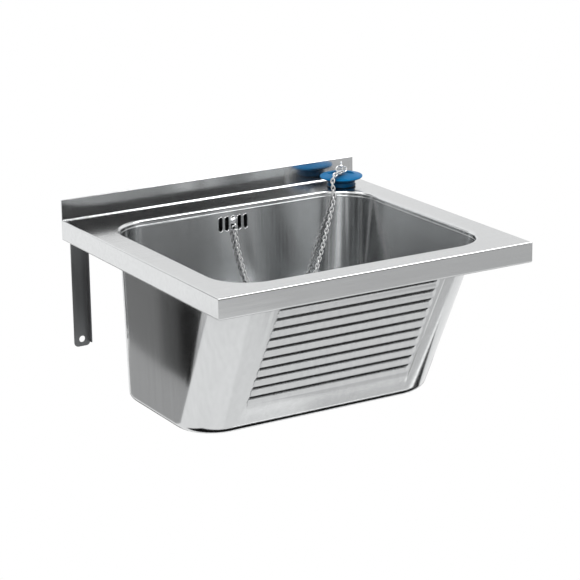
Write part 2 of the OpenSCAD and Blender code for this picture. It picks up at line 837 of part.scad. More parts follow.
// Domed rubber cap with a hollow skirt, standing on its foot
module plug() {
    post_gap = 0.1;
    steps = 12;
    rim_round = rubber_t / 2;
    outer = [for (i = [0:steps])
        let (r = post_r + post_gap + (plug_flange_r - rim_round - post_r - post_gap) * i / steps)
        [r, dome_z(r)]];
    inner = [for (i = [steps:-1:0])
        let (r = post_r + post_gap + (plug_foot_r - 5 - post_r) * i / steps)
        [r, dome_z(r) - rubber_t]];
    rib_h = 1.6;
    rib_in = 5.5;
    rib_l = 16;
    rib_w2 = 1.5;
    color(plug_tint)
        translate([plug_x, -plug_y, 0]) {
            difference() {
                union() {
                    rotate_extrude()
                        polygon(concat(outer,
                            [[plug_flange_r, plug_rim_z - rim_round * 0.6],
                             [plug_flange_r - 0.4, plug_skirt_h + 0.6],
                             [plug_flange_r - 2, plug_skirt_h],
                             [plug_foot_r - 1.2, plug_skirt_h - 0.8],
                             [plug_foot_r - 1.6, plug_skirt_h - 2],
                             [plug_foot_r - 1.6, 5], [plug_foot_r, 3.6], [plug_foot_r, 0.8],
                             [plug_foot_r - 0.8, 0], [plug_foot_r - 4, 0], [plug_foot_r - 5, 1]],
                            inner));
                    intersection() {
                        for (a = [eye_turn, eye_turn + 180])
                            rotate([0, 0, a]) translate([0, -rib_w2, plug_skirt_h])
                                cube([rib_in + rib_l, 2 * rib_w2, dome_h + rubber_t + rib_h]);
                        rotate_extrude()
                            polygon(concat(
                                [for (i = [0:steps]) let (r = rib_in + rib_l * i / steps)
                                    [r, dome_z(r) + rib_h * sin(180 * i / steps)]],
                                [for (i = [steps:-1:0]) let (r = rib_in + rib_l * i / steps)
                                    [r, dome_z(r) - rubber_t / 2]]));
                    }
                }
                translate([0, 0, -1]) cylinder(h = dome_top_z + 2, r = post_r + post_gap);
            }
        }
}

// Metal stud through the cap, with a flat eye and a ball on top
module plug_post() {
    tip_r = 1.8;
    base_z = dome_top_z - rubber_t - 5;
    color(chrome_tint)
        translate([plug_x, -plug_y, 0])
            difference() {
                union() {
                    translate([0, 0, base_z]) cylinder(h = eye_z - base_z, r = post_r);
                    translate([0, 0, dome_top_z]) cylinder(h = 1.2, r = 5);
                    translate([0, 0, eye_z]) rotate([90, 0, eye_turn + 90])
                        cylinder(h = 3, r = eye_r, center = true);
                    translate([0, 0, eye_z + eye_r - 0.5]) cylinder(h = 1.6, r = 1.1);
                    translate([0, 0, eye_z + eye_r + tip_r]) sphere(tip_r);
                }
                translate([0, 0, eye_z]) rotate([90, 0, eye_turn + 90])
                    cylinder(h = 12, r = eye_bore_r, center = true);
            }
}

// Nut plate that clamps the rubber from below
module plug_washer() {
    top = dome_z(8) - rubber_t - 0.1;
    color(chrome_tint)
        translate([plug_x, -plug_y, top - 1.5])
            difference() {
                cylinder(h = 1.5, r = 8);
                translate([0, 0, -1]) cylinder(h = 4, r = post_r + thread_gap);
            }
}

// Round ring through the eye, lying towards the front on the dome
module plug_ring() {
    color(chrome_tint)
        translate([plug_x, -plug_y, eye_z]) rotate([0, 0, eye_turn])
            rotate([ring_tilt, 0, 0]) translate([0, -ring_r, 0])
                rotate_extrude() translate([ring_r, 0]) circle(d = ring_wire);
}

deck();
bowl();
left_bracket();
right_bracket();
waste_flange();
waste_seal();
waste_gasket();
waste_body();
waste_screw();
overflow_gasket();
overflow_housing();
overflow_screw();
overflow_pipe();
housing_nut();
housing_seal();
inlet_nut();
inlet_seal();
chain_stay();
stay_ring();
chain();
chain_lead();
plug();
plug_post();
plug_washer();
plug_ring();
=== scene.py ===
# %% [markdown]
# # A wall-hung steel service sink
# The sink is a folded steel deck with a pressed tub welded into it. This
# lesson dresses a model whose sizes are already fixed, so the first step
# loads it and notes how large it is.

# %% Load the fixed model
import math

import bmesh
import bpy
from mathutils import Matrix, Vector


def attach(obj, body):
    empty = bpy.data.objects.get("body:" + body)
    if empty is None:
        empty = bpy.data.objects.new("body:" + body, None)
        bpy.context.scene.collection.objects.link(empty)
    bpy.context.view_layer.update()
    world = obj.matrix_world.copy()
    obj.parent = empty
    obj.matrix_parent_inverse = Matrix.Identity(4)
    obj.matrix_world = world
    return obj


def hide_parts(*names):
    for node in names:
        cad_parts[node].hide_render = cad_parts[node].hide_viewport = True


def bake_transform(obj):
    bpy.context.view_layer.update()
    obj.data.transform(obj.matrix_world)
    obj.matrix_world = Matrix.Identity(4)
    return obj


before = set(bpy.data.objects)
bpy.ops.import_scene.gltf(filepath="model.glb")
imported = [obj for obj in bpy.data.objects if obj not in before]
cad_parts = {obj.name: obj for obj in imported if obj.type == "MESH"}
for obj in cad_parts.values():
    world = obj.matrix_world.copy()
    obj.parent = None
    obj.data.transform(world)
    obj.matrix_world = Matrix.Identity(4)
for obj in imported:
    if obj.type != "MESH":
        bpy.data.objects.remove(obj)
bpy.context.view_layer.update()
MM = 0.001

# %% [markdown]
# ## Camera
# The photograph was taken from the front left and a little above, through a
# long lens. The three angles and the distance came from matching the corners
# of the deck, so the camera's axes are written out from them.

# %% Camera at the photograph's angle
PICTURE = 580
FOCAL = 2191.76
YAW, PITCH, ROLL = 0.533896, 0.290989, -0.013357
CAMERA_PLACE = (-1.53635, -2.82716, 0.81469)
ahead = Vector((math.sin(YAW) * math.cos(PITCH), math.cos(YAW) * math.cos(PITCH),
                -math.sin(PITCH)))
level = Vector((math.cos(YAW), -math.sin(YAW), 0))
over = level.cross(ahead)
rightward = math.cos(ROLL) * level + math.sin(ROLL) * over
upward = -math.sin(ROLL) * level + math.cos(ROLL) * over

lens = bpy.data.cameras.new("camera")
lens.sensor_width = 36
lens.lens = FOCAL / PICTURE * lens.sensor_width
lens.clip_end = 50
camera = bpy.data.objects.new("camera", lens)
bpy.context.scene.collection.objects.link(camera)
camera.matrix_world = Matrix.Translation(CAMERA_PLACE) @ Matrix(
    (rightward, upward, -ahead)).transposed().to_4x4()
bpy.context.scene.camera = camera
print("lens", round(lens.lens, 2), "mm")

# %% [markdown]
# ## Small helpers
# Every piece is a bmesh that becomes an object at the origin; one given a body
# rides on that body of the model. Smooth shading with a crease angle keeps folds round and
# cut edges sharp. Sheets and wires are grown by extruding a row of edges.

# %% Turn a bmesh into an object or a piece
def new_object(bm, name):
    mesh = bpy.data.meshes.new(name)
    bm.to_mesh(mesh)
    bm.free()
    thing = bpy.data.objects.new(name, mesh)
    bpy.context.scene.collection.objects.link(thing)
    return thing


def make_piece(bm, name, finish, body, stands_for=(), crease=35):
    piece = new_object(bm, name)
    mesh = piece.data
    mesh.materials.append(finish)
    mesh.shade_smooth()
    mesh.set_sharp_from_angle(angle=math.radians(crease))
    if body:
        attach(piece, body)
    if stands_for:
        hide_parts(*stands_for)
    print(name, len(mesh.vertices), "points")
    return piece


# %% Grow and scale a bmesh
def grow(bm, edges):
    """Extrude edges, and give the new points and the new edges between them."""
    made = bmesh.ops.extrude_edge_only(bm, edges=edges)["geom"]
    verts = [g for g in made if isinstance(g, bmesh.types.BMVert)]
    fresh = set(verts)
    return verts, [g for g in made
                   if isinstance(g, bmesh.types.BMEdge) and set(g.verts) <= fresh]


def to_metres(bm):
    bmesh.ops.scale(bm, vec=(MM, MM, MM), verts=bm.verts)


print("helpers are ready")

# %% [markdown]
# ## Finishes
# Stainless sheet is never flat grey. Rolling and grinding leave fine lines
# along one direction, handling leaves faint cloudy patches, and both change
# how sharply the metal reflects. One recipe with a stretched noise for the
# lines and a broad one for the clouds gives all the steel parts.

# %% Nodes that all the finishes share
NOISE_LOW, NOISE_HIGH = 0.3, 0.7         # where most values of a noise lie


def add(tree, kind, values, wires, **settings):
    """A new node: its settings first, then its input values and its links."""
    made = tree.nodes.new(kind)
    for key, value in settings.items():
        setattr(made, key, value)
    for key, value in values.items():
        made.inputs[key].default_value = value
    for key, source in wires.items():
        tree.links.new(source, made.inputs[key])
    return made


def new_finish(name):
    finish = bpy.data.materials.new(name)
    finish.use_nodes = True
    tree = finish.node_tree
    return finish, tree, tree.nodes["Principled BSDF"]


def noise(tree, place, scale, detail, **values):
    return add(tree, "ShaderNodeTexNoise", {"Scale": scale, "Detail": detail, **values},
               {"Vector": place}).outputs["Fac"]


def mixed(tree, share, a, b):
    return add(tree, "ShaderNodeMix", {"Factor": share}, {"A": a, "B": b},
               data_type="FLOAT").outputs["Result"]


def tinted(tree, factor, tone, vary):
    """The tone, a little darker or lighter as the factor changes."""
    shade = add(tree, "ShaderNodeValToRGB", {}, {"Fac": factor})
    low, high = shade.color_ramp.elements
    low.position, high.position = NOISE_LOW, NOISE_HIGH
    low.color = [c * (1 - vary) for c in tone] + [1]
    high.color = [min(c * (1 + vary), 1) for c in tone] + [1]
    return shade.outputs["Color"]


def bumped(tree, shader, height, strength, depth):
    bump = add(tree, "ShaderNodeBump", {"Strength": strength, "Distance": depth},
               {"Height": height})
    tree.links.new(bump.outputs["Normal"], shader.inputs["Normal"])


print("shared nodes are ready")

# %% Painted shade in the corners
def painted_corner_shade(tree, colour, reach, shade_strength):
    """The colour with painted shade: darker where other faces stand within reach of it."""
    corners = add(tree, "ShaderNodeAmbientOcclusion", {"Distance": reach}, {})
    depth = add(tree, "ShaderNodeGamma", {"Gamma": shade_strength}, {"Color": corners.outputs["Color"]})
    return add(tree, "ShaderNodeMix", {"Factor": 1.0},
               {"A": colour, "B": depth.outputs["Color"]},
               data_type="RGBA", blend_type="MULTIPLY").outputs["Result"]


print("corner darkening is ready")

# %% Brushed steel
CLOUD_SHARE, BAND_SHARE, BAND_STRETCH = 0.35, 0.5, 0.22


def steel(name, tone, roughness, lines, line_depth=0.00002, cloud=0.06, streak=0.10,
          shade_strength=0, reach=0.0018):
    """lines stretches the grain: a small number along it, a large one across."""
    finish, tree, shader = new_finish(name)
    shader.inputs["Metallic"].default_value = 1.0
    place = tree.nodes.new("ShaderNodeTexCoord").outputs["Object"]
    fine = add(tree, "ShaderNodeMapping", {"Scale": lines}, {"Vector": place})
    grain = noise(tree, fine.outputs["Vector"], 1.0, 5.0, Roughness=0.65)
    both = mixed(tree, CLOUD_SHARE, grain, noise(tree, place, 9.0, 4.0))
    wide = add(tree, "ShaderNodeMapping", {"Scale": [n * BAND_STRETCH for n in lines]},
               {"Vector": place})
    bands = noise(tree, wide.outputs["Vector"], 1.0, 3.0)
    shade = tinted(tree, mixed(tree, BAND_SHARE, both, bands), tone, streak)
    # Painted shade darkens the base colour where other faces stand near.
    tree.links.new(painted_corner_shade(tree, shade, reach, shade_strength), shader.inputs["Base Color"])
    dull = add(tree, "ShaderNodeMapRange",
               {"From Min": NOISE_LOW, "From Max": NOISE_HIGH,
                "To Min": roughness - cloud, "To Max": roughness + cloud}, {"Value": both})
    tree.links.new(dull.outputs["Result"], shader.inputs["Roughness"])
    bumped(tree, shader, grain, 0.5, line_depth)
    return finish


deck_steel = steel("deck_steel", (0.74, 0.75, 0.755), 0.15, (14, 900, 900),
                   0.000008, 0.04, 0.05)
# The tub steel is darker than the deck steel and gets painted shade reaching 0.2 m: painted shade
# that darkens the inside of the tub.
tub_steel = steel("tub_steel", (0.66, 0.67, 0.675), 0.155, (700, 700, 9),
                  0.000006, 0.04, 0.05, 0.4, 0.2)
# The brackets are a dull steel, and their dark tone is partly painted shade for their place under
# the deck.
bracket_steel = steel("bracket_steel", (0.24, 0.245, 0.25), 0.35, (500, 500, 20))
bright_steel = steel("bright_steel", (0.74, 0.75, 0.76), 0.14, (300, 300, 300),
                     0.00001, 0.04)
plated = steel("plated", (0.82, 0.83, 0.84), 0.10, (200, 200, 200), 0.00001, 0.03, 0.05)
# The chain gets strong painted shade where its links touch.
chain_metal = steel("chain_metal", (0.95, 0.95, 0.95), 0.16, (200, 200, 200),
                    0.00001, 0.03, 0.05, 1.8)
CHAIN_METALLIC = 0.5        # half metallic, so that the thin wire looks bright
chain_metal.node_tree.nodes["Principled BSDF"].inputs["Metallic"].default_value = CHAIN_METALLIC
print("six steel finishes are ready")

# %% [markdown]
# ## Moulded finishes
# The fittings behind the tub are moulded plastic, and the seals and the plug
# are rubber. Moulded parts have a fine pebbled skin and slight changes of
# colour, which a small noise gives.

# %% Plastic and rubber
PEBBLES, CORNER_REACH = 900, 0.02


def moulded(name, tone, roughness, vary=0.08, shine=0.5, shade_strength=0.6):
    finish, tree, shader = new_finish(name)
    shader.inputs["Roughness"].default_value = roughness
    shader.inputs["Specular IOR Level"].default_value = shine
    place = tree.nodes.new("ShaderNodeTexCoord").outputs["Object"]
    shade = tinted(tree, noise(tree, place, 40.0, 4.0), tone, vary)
    # Painted shade darkens the base colour where other faces stand near.
    tree.links.new(painted_corner_shade(tree, shade, CORNER_REACH, shade_strength), shader.inputs["Base Color"])
    bumped(tree, shader, noise(tree, place, PEBBLES, 3.0), 0.4, 0.00004)
    return finish


# All moulded finishes carry painted shade near other faces. The blue rubber's is strongest:
# painted shade under the plug's rim and beside its ridges.
fitting_plastic = moulded("fitting_plastic", (0.045, 0.046, 0.048), 0.42)
black_rubber = moulded("black_rubber", (0.02, 0.02, 0.021), 0.6)
blue_rubber = moulded("blue_rubber", (0.001, 0.205, 0.50), 0.36, vary=0.10, shine=0.12,
                      shade_strength=2.0)
print("three moulded finishes are ready")

# %% [markdown]
# ## The chain
# The plug hangs on a chain of oval wire links, each turned against its
# neighbours. Its middle line is a smooth curve, and a link stands at every
# pitch along it, so the links are made one by one from a ring of wire.

# %% Middle line of the chain
CHAIN_ROUTE = [
    (0, -69.5, -36), (3, -69.6, -55), (7, -69.8, -75), (12, -70, -95), (18, -70.2, -114),
    (26, -70.4, -132), (36, -70.6, -149), (48, -70.8, -162), (62, -71, -171),
    (77, -71.2, -175), (92, -71.4, -174), (106, -71.6, -168), (118, -71.8, -158),
    (128, -72, -144), (137, -72.2, -125), (145, -72.4, -103), (152, -72.5, -81),
    (159, -72.5, -58), (165.5, -72.6, -36), (170.3, -72.6, -18), (172.7, -72.3, -5)]
LEAD_ROUTE = [
    (172.7, -72.3, -5), (172.4, -71.5, 0), (171.5, -70.7, 6), (171.1, -70.0, 12),
    (172.5, -69.2, 18), (176.3, -67.3, 22.8), (182, -64.6, 25.2),
    (188.5, -61.4, 25.1), (196.2, -57.8, 23.5)]
LINK_PITCH, WIRE, LINK_GAP, END_GAP, PLAY = 5.6, 1.9, 3.0, 4.0, 0.4


def smooth_curve(points, samples=12):
    """Points of a smooth curve that passes through all the given points."""
    points = [Vector(p) for p in points]
    last = len(points) - 1
    line = []
    for i in range(last):
        a, b = points[max(i - 1, 0)], points[i]
        c, d = points[i + 1], points[min(i + 2, last)]
        for k in range(samples):
            t = k / samples
            line.append(0.5 * (2 * b + (c - a) * t + (2 * a - 5 * b + 4 * c - d) * t * t
                               + (3 * b - a - 3 * c + d) * t ** 3))
    return line + [points[-1]]


def pitch_points(line, pitch):
    """Points on the line, each exactly one pitch from the last."""
    found = [line[0].copy()]
    i = 1
    while i < len(line):
        if (line[i] - found[-1]).length < pitch:
            i += 1
            continue
        low, high = 0.0, 1.0
        for _ in range(40):
            half = (low + high) / 2
            near = (line[i - 1].lerp(line[i], half) - found[-1]).length < pitch
            low, high = (half, high) if near else (low, half)
        found.append(line[i - 1].lerp(line[i], high))
    return found


chain_line = smooth_curve(CHAIN_ROUTE)
lead_line = smooth_curve(LEAD_ROUTE)
link_ends = pitch_points(chain_line + lead_line[1:], LINK_PITCH)
rim_link = len(pitch_points(chain_line, LINK_PITCH)) - 1
last_link = len(link_ends) - 2
print(len(link_ends) - 1, "links,", rim_link, "of them up to the rim")

# %% One wire link
WIRE_SIDES, BEND_STEPS = 8, 6


def wire_link(gap):
    """An oval link: two bends of wire, joined by a straight length on each side."""
    bm = bmesh.new()
    bend = (gap + WIRE) / 2
    straight = LINK_PITCH + PLAY - gap
    bmesh.ops.create_circle(bm, segments=WIRE_SIDES, radius=WIRE / 2,
                            matrix=Matrix.Translation((bend, 0, -straight / 2)))
    wire_edges = list(bm.edges)
    for end in (-1, 1):
        turned = bmesh.ops.spin(bm, geom=wire_edges, cent=(0, 0, end * straight / 2),
                                axis=(0, 1, 0), angle=math.pi, steps=BEND_STEPS)
        wire_edges = [g for g in turned["geom_last"] if isinstance(g, bmesh.types.BMEdge)]
        side, wire_edges = grow(bm, wire_edges)
        bmesh.ops.translate(bm, vec=(0, 0, -end * straight), verts=side)
    bmesh.ops.remove_doubles(bm, verts=bm.verts, dist=0.01)
    bmesh.ops.recalc_face_normals(bm, faces=bm.faces)
    mesh = bpy.data.meshes.new("link")
    bm.to_mesh(mesh)
    bm.free()
    return mesh


plain_link, end_link = wire_link(LINK_GAP), wire_link(END_GAP)
print("one link has", len(plain_link.vertices), "points")

# %% Lay the links along the line
LINK_TURN, LAST_TURN = 45, 15      # degrees that a link is turned about the line


def link_place(i):
    a, b = link_ends[i], link_ends[i + 1]
    along = (b - a).normalized()
    side = along.cross(Vector((0, 1, 0))).normalized()
    face = along.cross(side)
    turn = math.radians(LAST_TURN if i == last_link else LINK_TURN if i % 2 == 0 else -LINK_TURN)
    u = math.cos(turn) * side + math.sin(turn) * face
    v = along.cross(u)
    return Matrix.Translation((a + b) / 2) @ Matrix((u, v, along)).transposed().to_4x4()


def chain_part(first, last, name, node):
    bm = bmesh.new()
    for i in range(first, last):
        known = len(bm.verts)
        bm.from_mesh(end_link if i in (0, last_link) else plain_link)
        bm.verts.ensure_lookup_table()
        bmesh.ops.transform(bm, matrix=Matrix.Scale(MM, 4) @ link_place(i),
                            verts=bm.verts[known:])
    return make_piece(bm, name, chain_metal, None, (node,), 80)


chain = chain_part(0, rim_link, "hanging_chain", "chain")
lead = chain_part(rim_link, len(link_ends) - 1, "rim_chain", "chain_lead")


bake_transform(chain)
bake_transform(lead)

# %% [markdown]
# ## The pressed tub
# The tub is one sheet: four walls with rounded corners, the front one leaning
# back, a floor that falls to the waste and ten grooves pressed into the front
# as a washboard. A ring of points is extruded down, row by row, and each row
# is moved to where the press leaves the sheet, so the grooves get soft edges
# and the corners run smoothly into the walls.

# %% Sizes of the tub
LIP_DEEP, TUB_DEEP, SHEET = 8, 255, 1.2
MOUTH_HALF, MOUTH_BACK, MOUTH_FRONT = 210, -64, -431
SIDE_LEAN, FRONT_LEAN = 7, 122
MOUTH_R, FOOT_R, FLOOR_R, FLOOR_FALL = 60, 60, 14, 4
SEAT_R, WASTE_HOLE_R, WASTE_Y = 45, 27, -140
GROOVES, GROOVE_PITCH, GROOVE_START, GROOVE_DEEP = 10, 18, 63.5, 3.1
wall_drop = TUB_DEEP - LIP_DEEP
slope = math.atan(FRONT_LEAN / wall_drop)
print("front wall leans", round(math.degrees(slope), 1), "degrees")

# %% Where a point of the ring lies at each level
def outline(level_z, inset):
    """Half width, back, front and corner radius of the tub's inner face."""
    down = (-LIP_DEEP - level_z) / wall_drop
    return (MOUTH_HALF - SIDE_LEAN * down - inset, MOUTH_BACK - inset,
            MOUTH_FRONT + FRONT_LEAN * down + inset,
            MOUTH_R + (FOOT_R - MOUTH_R) * down - inset)


print("at the foot the half width is", round(outline(-TUB_DEEP, 0)[0], 1), "mm")

# %% Points round the tub at one level
CORNER_STEPS = 14
# Columns stand close together near the ends of the grooves.
front_marks = [-147 + 1.2 * k for k in range(26)] + [-112 + 16 * k for k in range(15)] + [
    120 + 1.25 * k for k in range(23)]
BACK_HALF = 150
back_marks = [BACK_HALF - 20 * k for k in range(16)]
PLAIN = 134                 # columns further out move in as the wall narrows
BACK_SPARE, FRONT_SPARE = 3, 0.4         # room between a column and the corner


def ring_points(level_z, inset):
    """Points round the tub, from the middle of the right side, anticlockwise."""
    half, back, front, r = outline(level_z, inset)
    ring = []

    def corner(cx, cy, start):
        for i in range(CORNER_STEPS + 1):
            a = math.radians(start + 90 * i / CORNER_STEPS)
            ring.append((cx + r * math.cos(a), cy + r * math.sin(a)))

    def moved_in(x):
        if abs(x) < PLAIN:
            return x
        return math.copysign(PLAIN + (abs(x) - PLAIN) * spare, x)

    mid = (back + front) / 2
    ring.append((half, mid))
    corner(half - r, back - r, 0)
    ring.extend((x / BACK_HALF * (half - r - BACK_SPARE), back) for x in back_marks)
    corner(r - half, back - r, 90)
    ring.append((-half, mid))
    corner(r - half, front + r, 180)
    spare = (half - r - FRONT_SPARE - PLAIN) / (MOUTH_HALF - MOUTH_R - PLAIN)
    ring.extend((moved_in(x), front) for x in front_marks)
    corner(half - r, front + r, 270)
    return ring


print(len(ring_points(-LIP_DEEP, 0)), "points in a row")

# %% How deep the press moves the wall
ABOVE, BELOW, END_RUN = 11.4, 6.6, 2.8       # how far a groove's flanks reach
PANEL_PROUD, ROUNDING = 0.7, 0.5
PANEL_LEFT, PANEL_RIGHT, PANEL_TOP = -136.5, 144, 60
PANEL_EDGE, PANEL_BELOW, PANEL_FADE = 3, 32, 26
lowest_groove = GROOVE_START + (GROOVES - 1) * GROOVE_PITCH


def groove_ends(i):
    part = i / (GROOVES - 1)
    return -123 - 10 * part, 132 - 2 * part


def soft(t):
    t = min(max(t, 0), 1)
    return t * t * (3 - 2 * t)


def sharp_groove(t, beyond):
    """Depth of one groove at t, down the wall from its bottom, and past its end."""
    side = -t / ABOVE if t < 0 else t / BELOW
    return GROOVE_DEEP * max(1 - math.hypot(side, beyond), 0)


def pressed_in(x, s):
    """How deep the press moves the front wall at x and s, down the wall.

    Each groove has a long flank above its bottom and a short one below, and
    the whole washboard stands a little proud of the wall.
    """
    panel_left = PANEL_LEFT - 0.026 * (s - PANEL_TOP)
    panel_right = PANEL_RIGHT - 0.04 * (s - PANEL_TOP)
    deep = -PANEL_PROUD * soft((x - panel_left) / PANEL_EDGE) * soft(
        (panel_right - x) / PANEL_EDGE) * soft((lowest_groove + PANEL_BELOW - s) / PANEL_FADE)
    nearest = round((s - GROOVE_START) / GROOVE_PITCH)
    for i in range(max(nearest - 1, 0), min(nearest + 2, GROOVES)):
        t = s - GROOVE_START - i * GROOVE_PITCH
        left, right = groove_ends(i)
        beyond = max(left - x, x - right, 0) / END_RUN
        deep += sum(sharp_groove(t + k * ROUNDING, beyond) for k in (-2, -1, 0, 1, 2)) / 5
    return deep


print("deepest point", round(pressed_in(0, GROOVE_START), 2), "mm")

# %% Levels of the rows
BEND_ROWS = 7
row_s = [20, 32, 42, 48]
for i in range(GROOVES):
    here = GROOVE_START + i * GROOVE_PITCH
    row_s += [here + d for d in (-12.4, -11.9, -11.4, -10.9, -10.3, -8.6, -6.6, -4.6, -2.6,
                                 -1.1, -0.5, 0, 0.5, 1.1, 2.4, 3.8, 5)]
row_s += [lowest_groove + d for d in (9, 14, 22, 30, 38, 41, 42.5)]
bend_z = -TUB_DEEP + FLOOR_R
bend_r = FLOOR_R - SHEET
row_z = [-LIP_DEEP] + [-s * math.cos(slope) for s in row_s]
levels = [(z, 0) for z in row_z if z > bend_z + 0.6]
for k in range(BEND_ROWS + 1):
    a = math.pi / 2 * k / BEND_ROWS
    levels.append((bend_z - bend_r * math.sin(a), bend_r * (1 - math.cos(a))))
print(len(levels), "rows")

# %% Extrude the walls row by row
PRESS_HALF = 147            # the press reaches no further out than this
bm = bmesh.new()
column = bm.verts.layers.int.new("column")
first = ring_points(*levels[0])
row = [bm.verts.new((x, y, levels[0][0])) for x, y in first]
for i, v in enumerate(row):
    v[column] = i
edges = [bm.edges.new((row[i], row[(i + 1) % len(row)])) for i in range(len(row))]
for z, inset in levels[1:]:
    row, edges = grow(bm, edges)
    spots = ring_points(z, inset)
    s = -(z - SHEET * math.sin(slope)) / math.cos(slope)
    front_y = outline(z, inset)[2]
    for v in row:
        v.co = (*spots[v[column]], z)
        if inset == 0 and abs(v.co.y - front_y) < 0.01 and abs(v.co.x) < PRESS_HALF:
            v.co += Vector((0, math.cos(slope), math.sin(slope))) * pressed_in(v.co.x, s)
print(len(bm.verts), "points in the walls")

# %% Draw the floor in to the waste
FLOOR_ROWS = 6
last_spots = ring_points(*levels[-1])
for k in range(1, FLOOR_ROWS + 1):
    part = k / FLOOR_ROWS
    row, edges = grow(bm, edges)
    drop = bend_z - bend_r - FLOOR_FALL * soft(part * 0.5) * 2
    for v in row:
        x, y = last_spots[v[column]]
        out = Vector((x, y - WASTE_Y))
        spot = out.lerp(out.normalized() * SEAT_R, part)
        v.co = (spot.x, spot.y + WASTE_Y, drop)
floor_z = drop
for r in (44, 30, 28, WASTE_HOLE_R):
    row, edges = grow(bm, edges)
    for v in row:
        out = (v.co.xy - Vector((0, WASTE_Y))).normalized() * r
        v.co = (out.x, out.y + WASTE_Y, floor_z)
bmesh.ops.recalc_face_normals(bm, faces=bm.faces)
back_wall = Vector((0, MOUTH_BACK, -120))
middle = min(bm.faces, key=lambda f: (f.calc_center_median() - back_wall).length)
if middle.normal.y < 0:
    bmesh.ops.reverse_faces(bm, faces=bm.faces)
to_metres(bm)
sheet = new_object(bm, "tub_sheet")
print("tub sheet", len(sheet.data.vertices), "points, floor at", round(floor_z, 1))

# %% [markdown]
# ## The weld round the mouth
# The tub hangs from the deck's turned-down lip by one weld that is ground
# nearly flush. A small half-round bead that follows the mouth leaves the fine
# double line which such a joint shows.

# %% Bead along the mouth
BEAD_PROUD, BEAD_SUNK, BEAD_HIGH, BEAD_STEPS = 0.55, 0.1, 0.9, 4
bm = bmesh.new()
bead_rows = []
for k in range(BEAD_STEPS + 1):
    a = math.pi * k / BEAD_STEPS
    spots = ring_points(-LIP_DEEP, BEAD_PROUD * math.sin(a) - BEAD_SUNK)
    bead_rows.append([bm.verts.new((x, y, -LIP_DEEP + BEAD_HIGH * math.cos(a)))
                      for x, y in spots])
for upper, lower in zip(bead_rows, bead_rows[1:]):
    for i in range(len(upper)):
        j = (i + 1) % len(upper)
        bm.faces.new((upper[i], upper[j], lower[j], lower[i]))
bmesh.ops.recalc_face_normals(bm, faces=bm.faces)
if bm.faces[0].normal.x > 0:
    bmesh.ops.reverse_faces(bm, faces=bm.faces)
to_metres(bm)
make_piece(bm, "mouth_weld", tub_steel, "sink", (), 60)

# %% [markdown]
# ## Overflow slots
# Five upright slots in the back wall let water out before the deck floods.
# They are punched, so each is cut clean through the sheet, and punching rolls
# the edge of the hole a little: a fine rounded rim runs round each slot.

# %% Punch for the slots
SLOTS = range(-2, 3)
SLOT_PITCH, SLOT_W, SLOT_H, SLOT_Z = 10.6, 6, 22, -26
SLOT_REACH = (SLOT_H - SLOT_W) / 2       # from a slot's middle to its round ends
PUNCH_START, PUNCH_LONG = 6, 14


def slot_outline(bm, x, y, radius, steps=10):
    """Closed loop of edges of one slot, upright in the plane of the back wall."""
    loop = []
    for end in (1, -1):
        for i in range(steps + 1):
            a = math.radians(180 * i / steps + (0 if end > 0 else 180))
            loop.append(bm.verts.new((x + radius * math.cos(a), y,
                                      SLOT_Z + end * SLOT_REACH + radius * math.sin(a))))
    return loop, [bm.edges.new((loop[i], loop[(i + 1) % len(loop)]))
                  for i in range(len(loop))]


bm = bmesh.new()
for k in SLOTS:
    loop, _ = slot_outline(bm, k * SLOT_PITCH, MOUTH_BACK - PUNCH_START, SLOT_W / 2)
    face = bm.faces.new(loop)
    made = bmesh.ops.extrude_face_region(bm, geom=[face])["geom"]
    bmesh.ops.translate(bm, vec=(0, PUNCH_LONG, 0),
                        verts=[g for g in made if isinstance(g, bmesh.types.BMVert)])
bmesh.ops.recalc_face_normals(bm, faces=bm.faces)
to_metres(bm)
punch = new_object(bm, "slot_punch")
print(len(SLOTS), "slots to cut")

# %% Thicken the sheet and cut the slots
thick = sheet.modifiers.new("thickness", "SOLIDIFY")
thick.thickness = SHEET * MM
thick.offset = 1.0
cut = sheet.modifiers.new("slots", "BOOLEAN")
cut.operation = "DIFFERENCE"
cut.object = punch
cut.solver = "EXACT"
bpy.context.view_layer.update()
cut_mesh = sheet.evaluated_get(bpy.context.evaluated_depsgraph_get()).to_mesh()
bm = bmesh.new()
bm.from_mesh(cut_mesh)
bpy.data.objects.remove(sheet)
bpy.data.objects.remove(punch)
make_piece(bm, "pressed_tub", tub_steel, "sink", ("bowl",), 40)

# %% Rolled rims of the slots
# A rim's section: how far out from its first edge, and how far off the wall.
RIM_SECTION = ((-0.2, -0.55), (-0.5, -0.75), (-0.85, -0.5), (-0.98, 0.1), (-0.98, 1.4))
rim_r = SLOT_W / 2 + 0.9
bm = bmesh.new()
for k in SLOTS:
    _, ring_edges = slot_outline(bm, k * SLOT_PITCH, MOUTH_BACK + 0.1, rim_r, 12)
    for out, proud in RIM_SECTION:
        verts, ring_edges = grow(bm, ring_edges)
        for v in verts:
            above = min(max(v.co.z - SLOT_Z, -SLOT_REACH), SLOT_REACH)
            core = Vector((k * SLOT_PITCH, 0, SLOT_Z + above))
            way = Vector((v.co.x, 0, v.co.z)) - core
            spot = core + way.normalized() * (rim_r + out)
            v.co = (spot.x, MOUTH_BACK + proud, spot.z)
bmesh.ops.recalc_face_normals(bm, faces=bm.faces)
to_metres(bm)
make_piece(bm, "slot_rims", plated, "sink", (), 60)

# %% [markdown]
# ## The rubber plug
# The plug is a turned shape: a domed cap with a raised rim, a waist with
# sealing rings and a hollow foot. Its section is drawn once and spun round
# the axis, and two low ridges run out from the post.

# %% Section of the plug
PLUG_X, PLUG_Y, PLUG_R = 201.6, -46.5, 33
RIM_Z, DOME_H = 16, 5.5
SEALING_RINGS = (10.2, 7.4)              # their heights above the foot


def dome_z(r):
    return RIM_Z + DOME_H * (1 - (r / PLUG_R) ** 1.5)


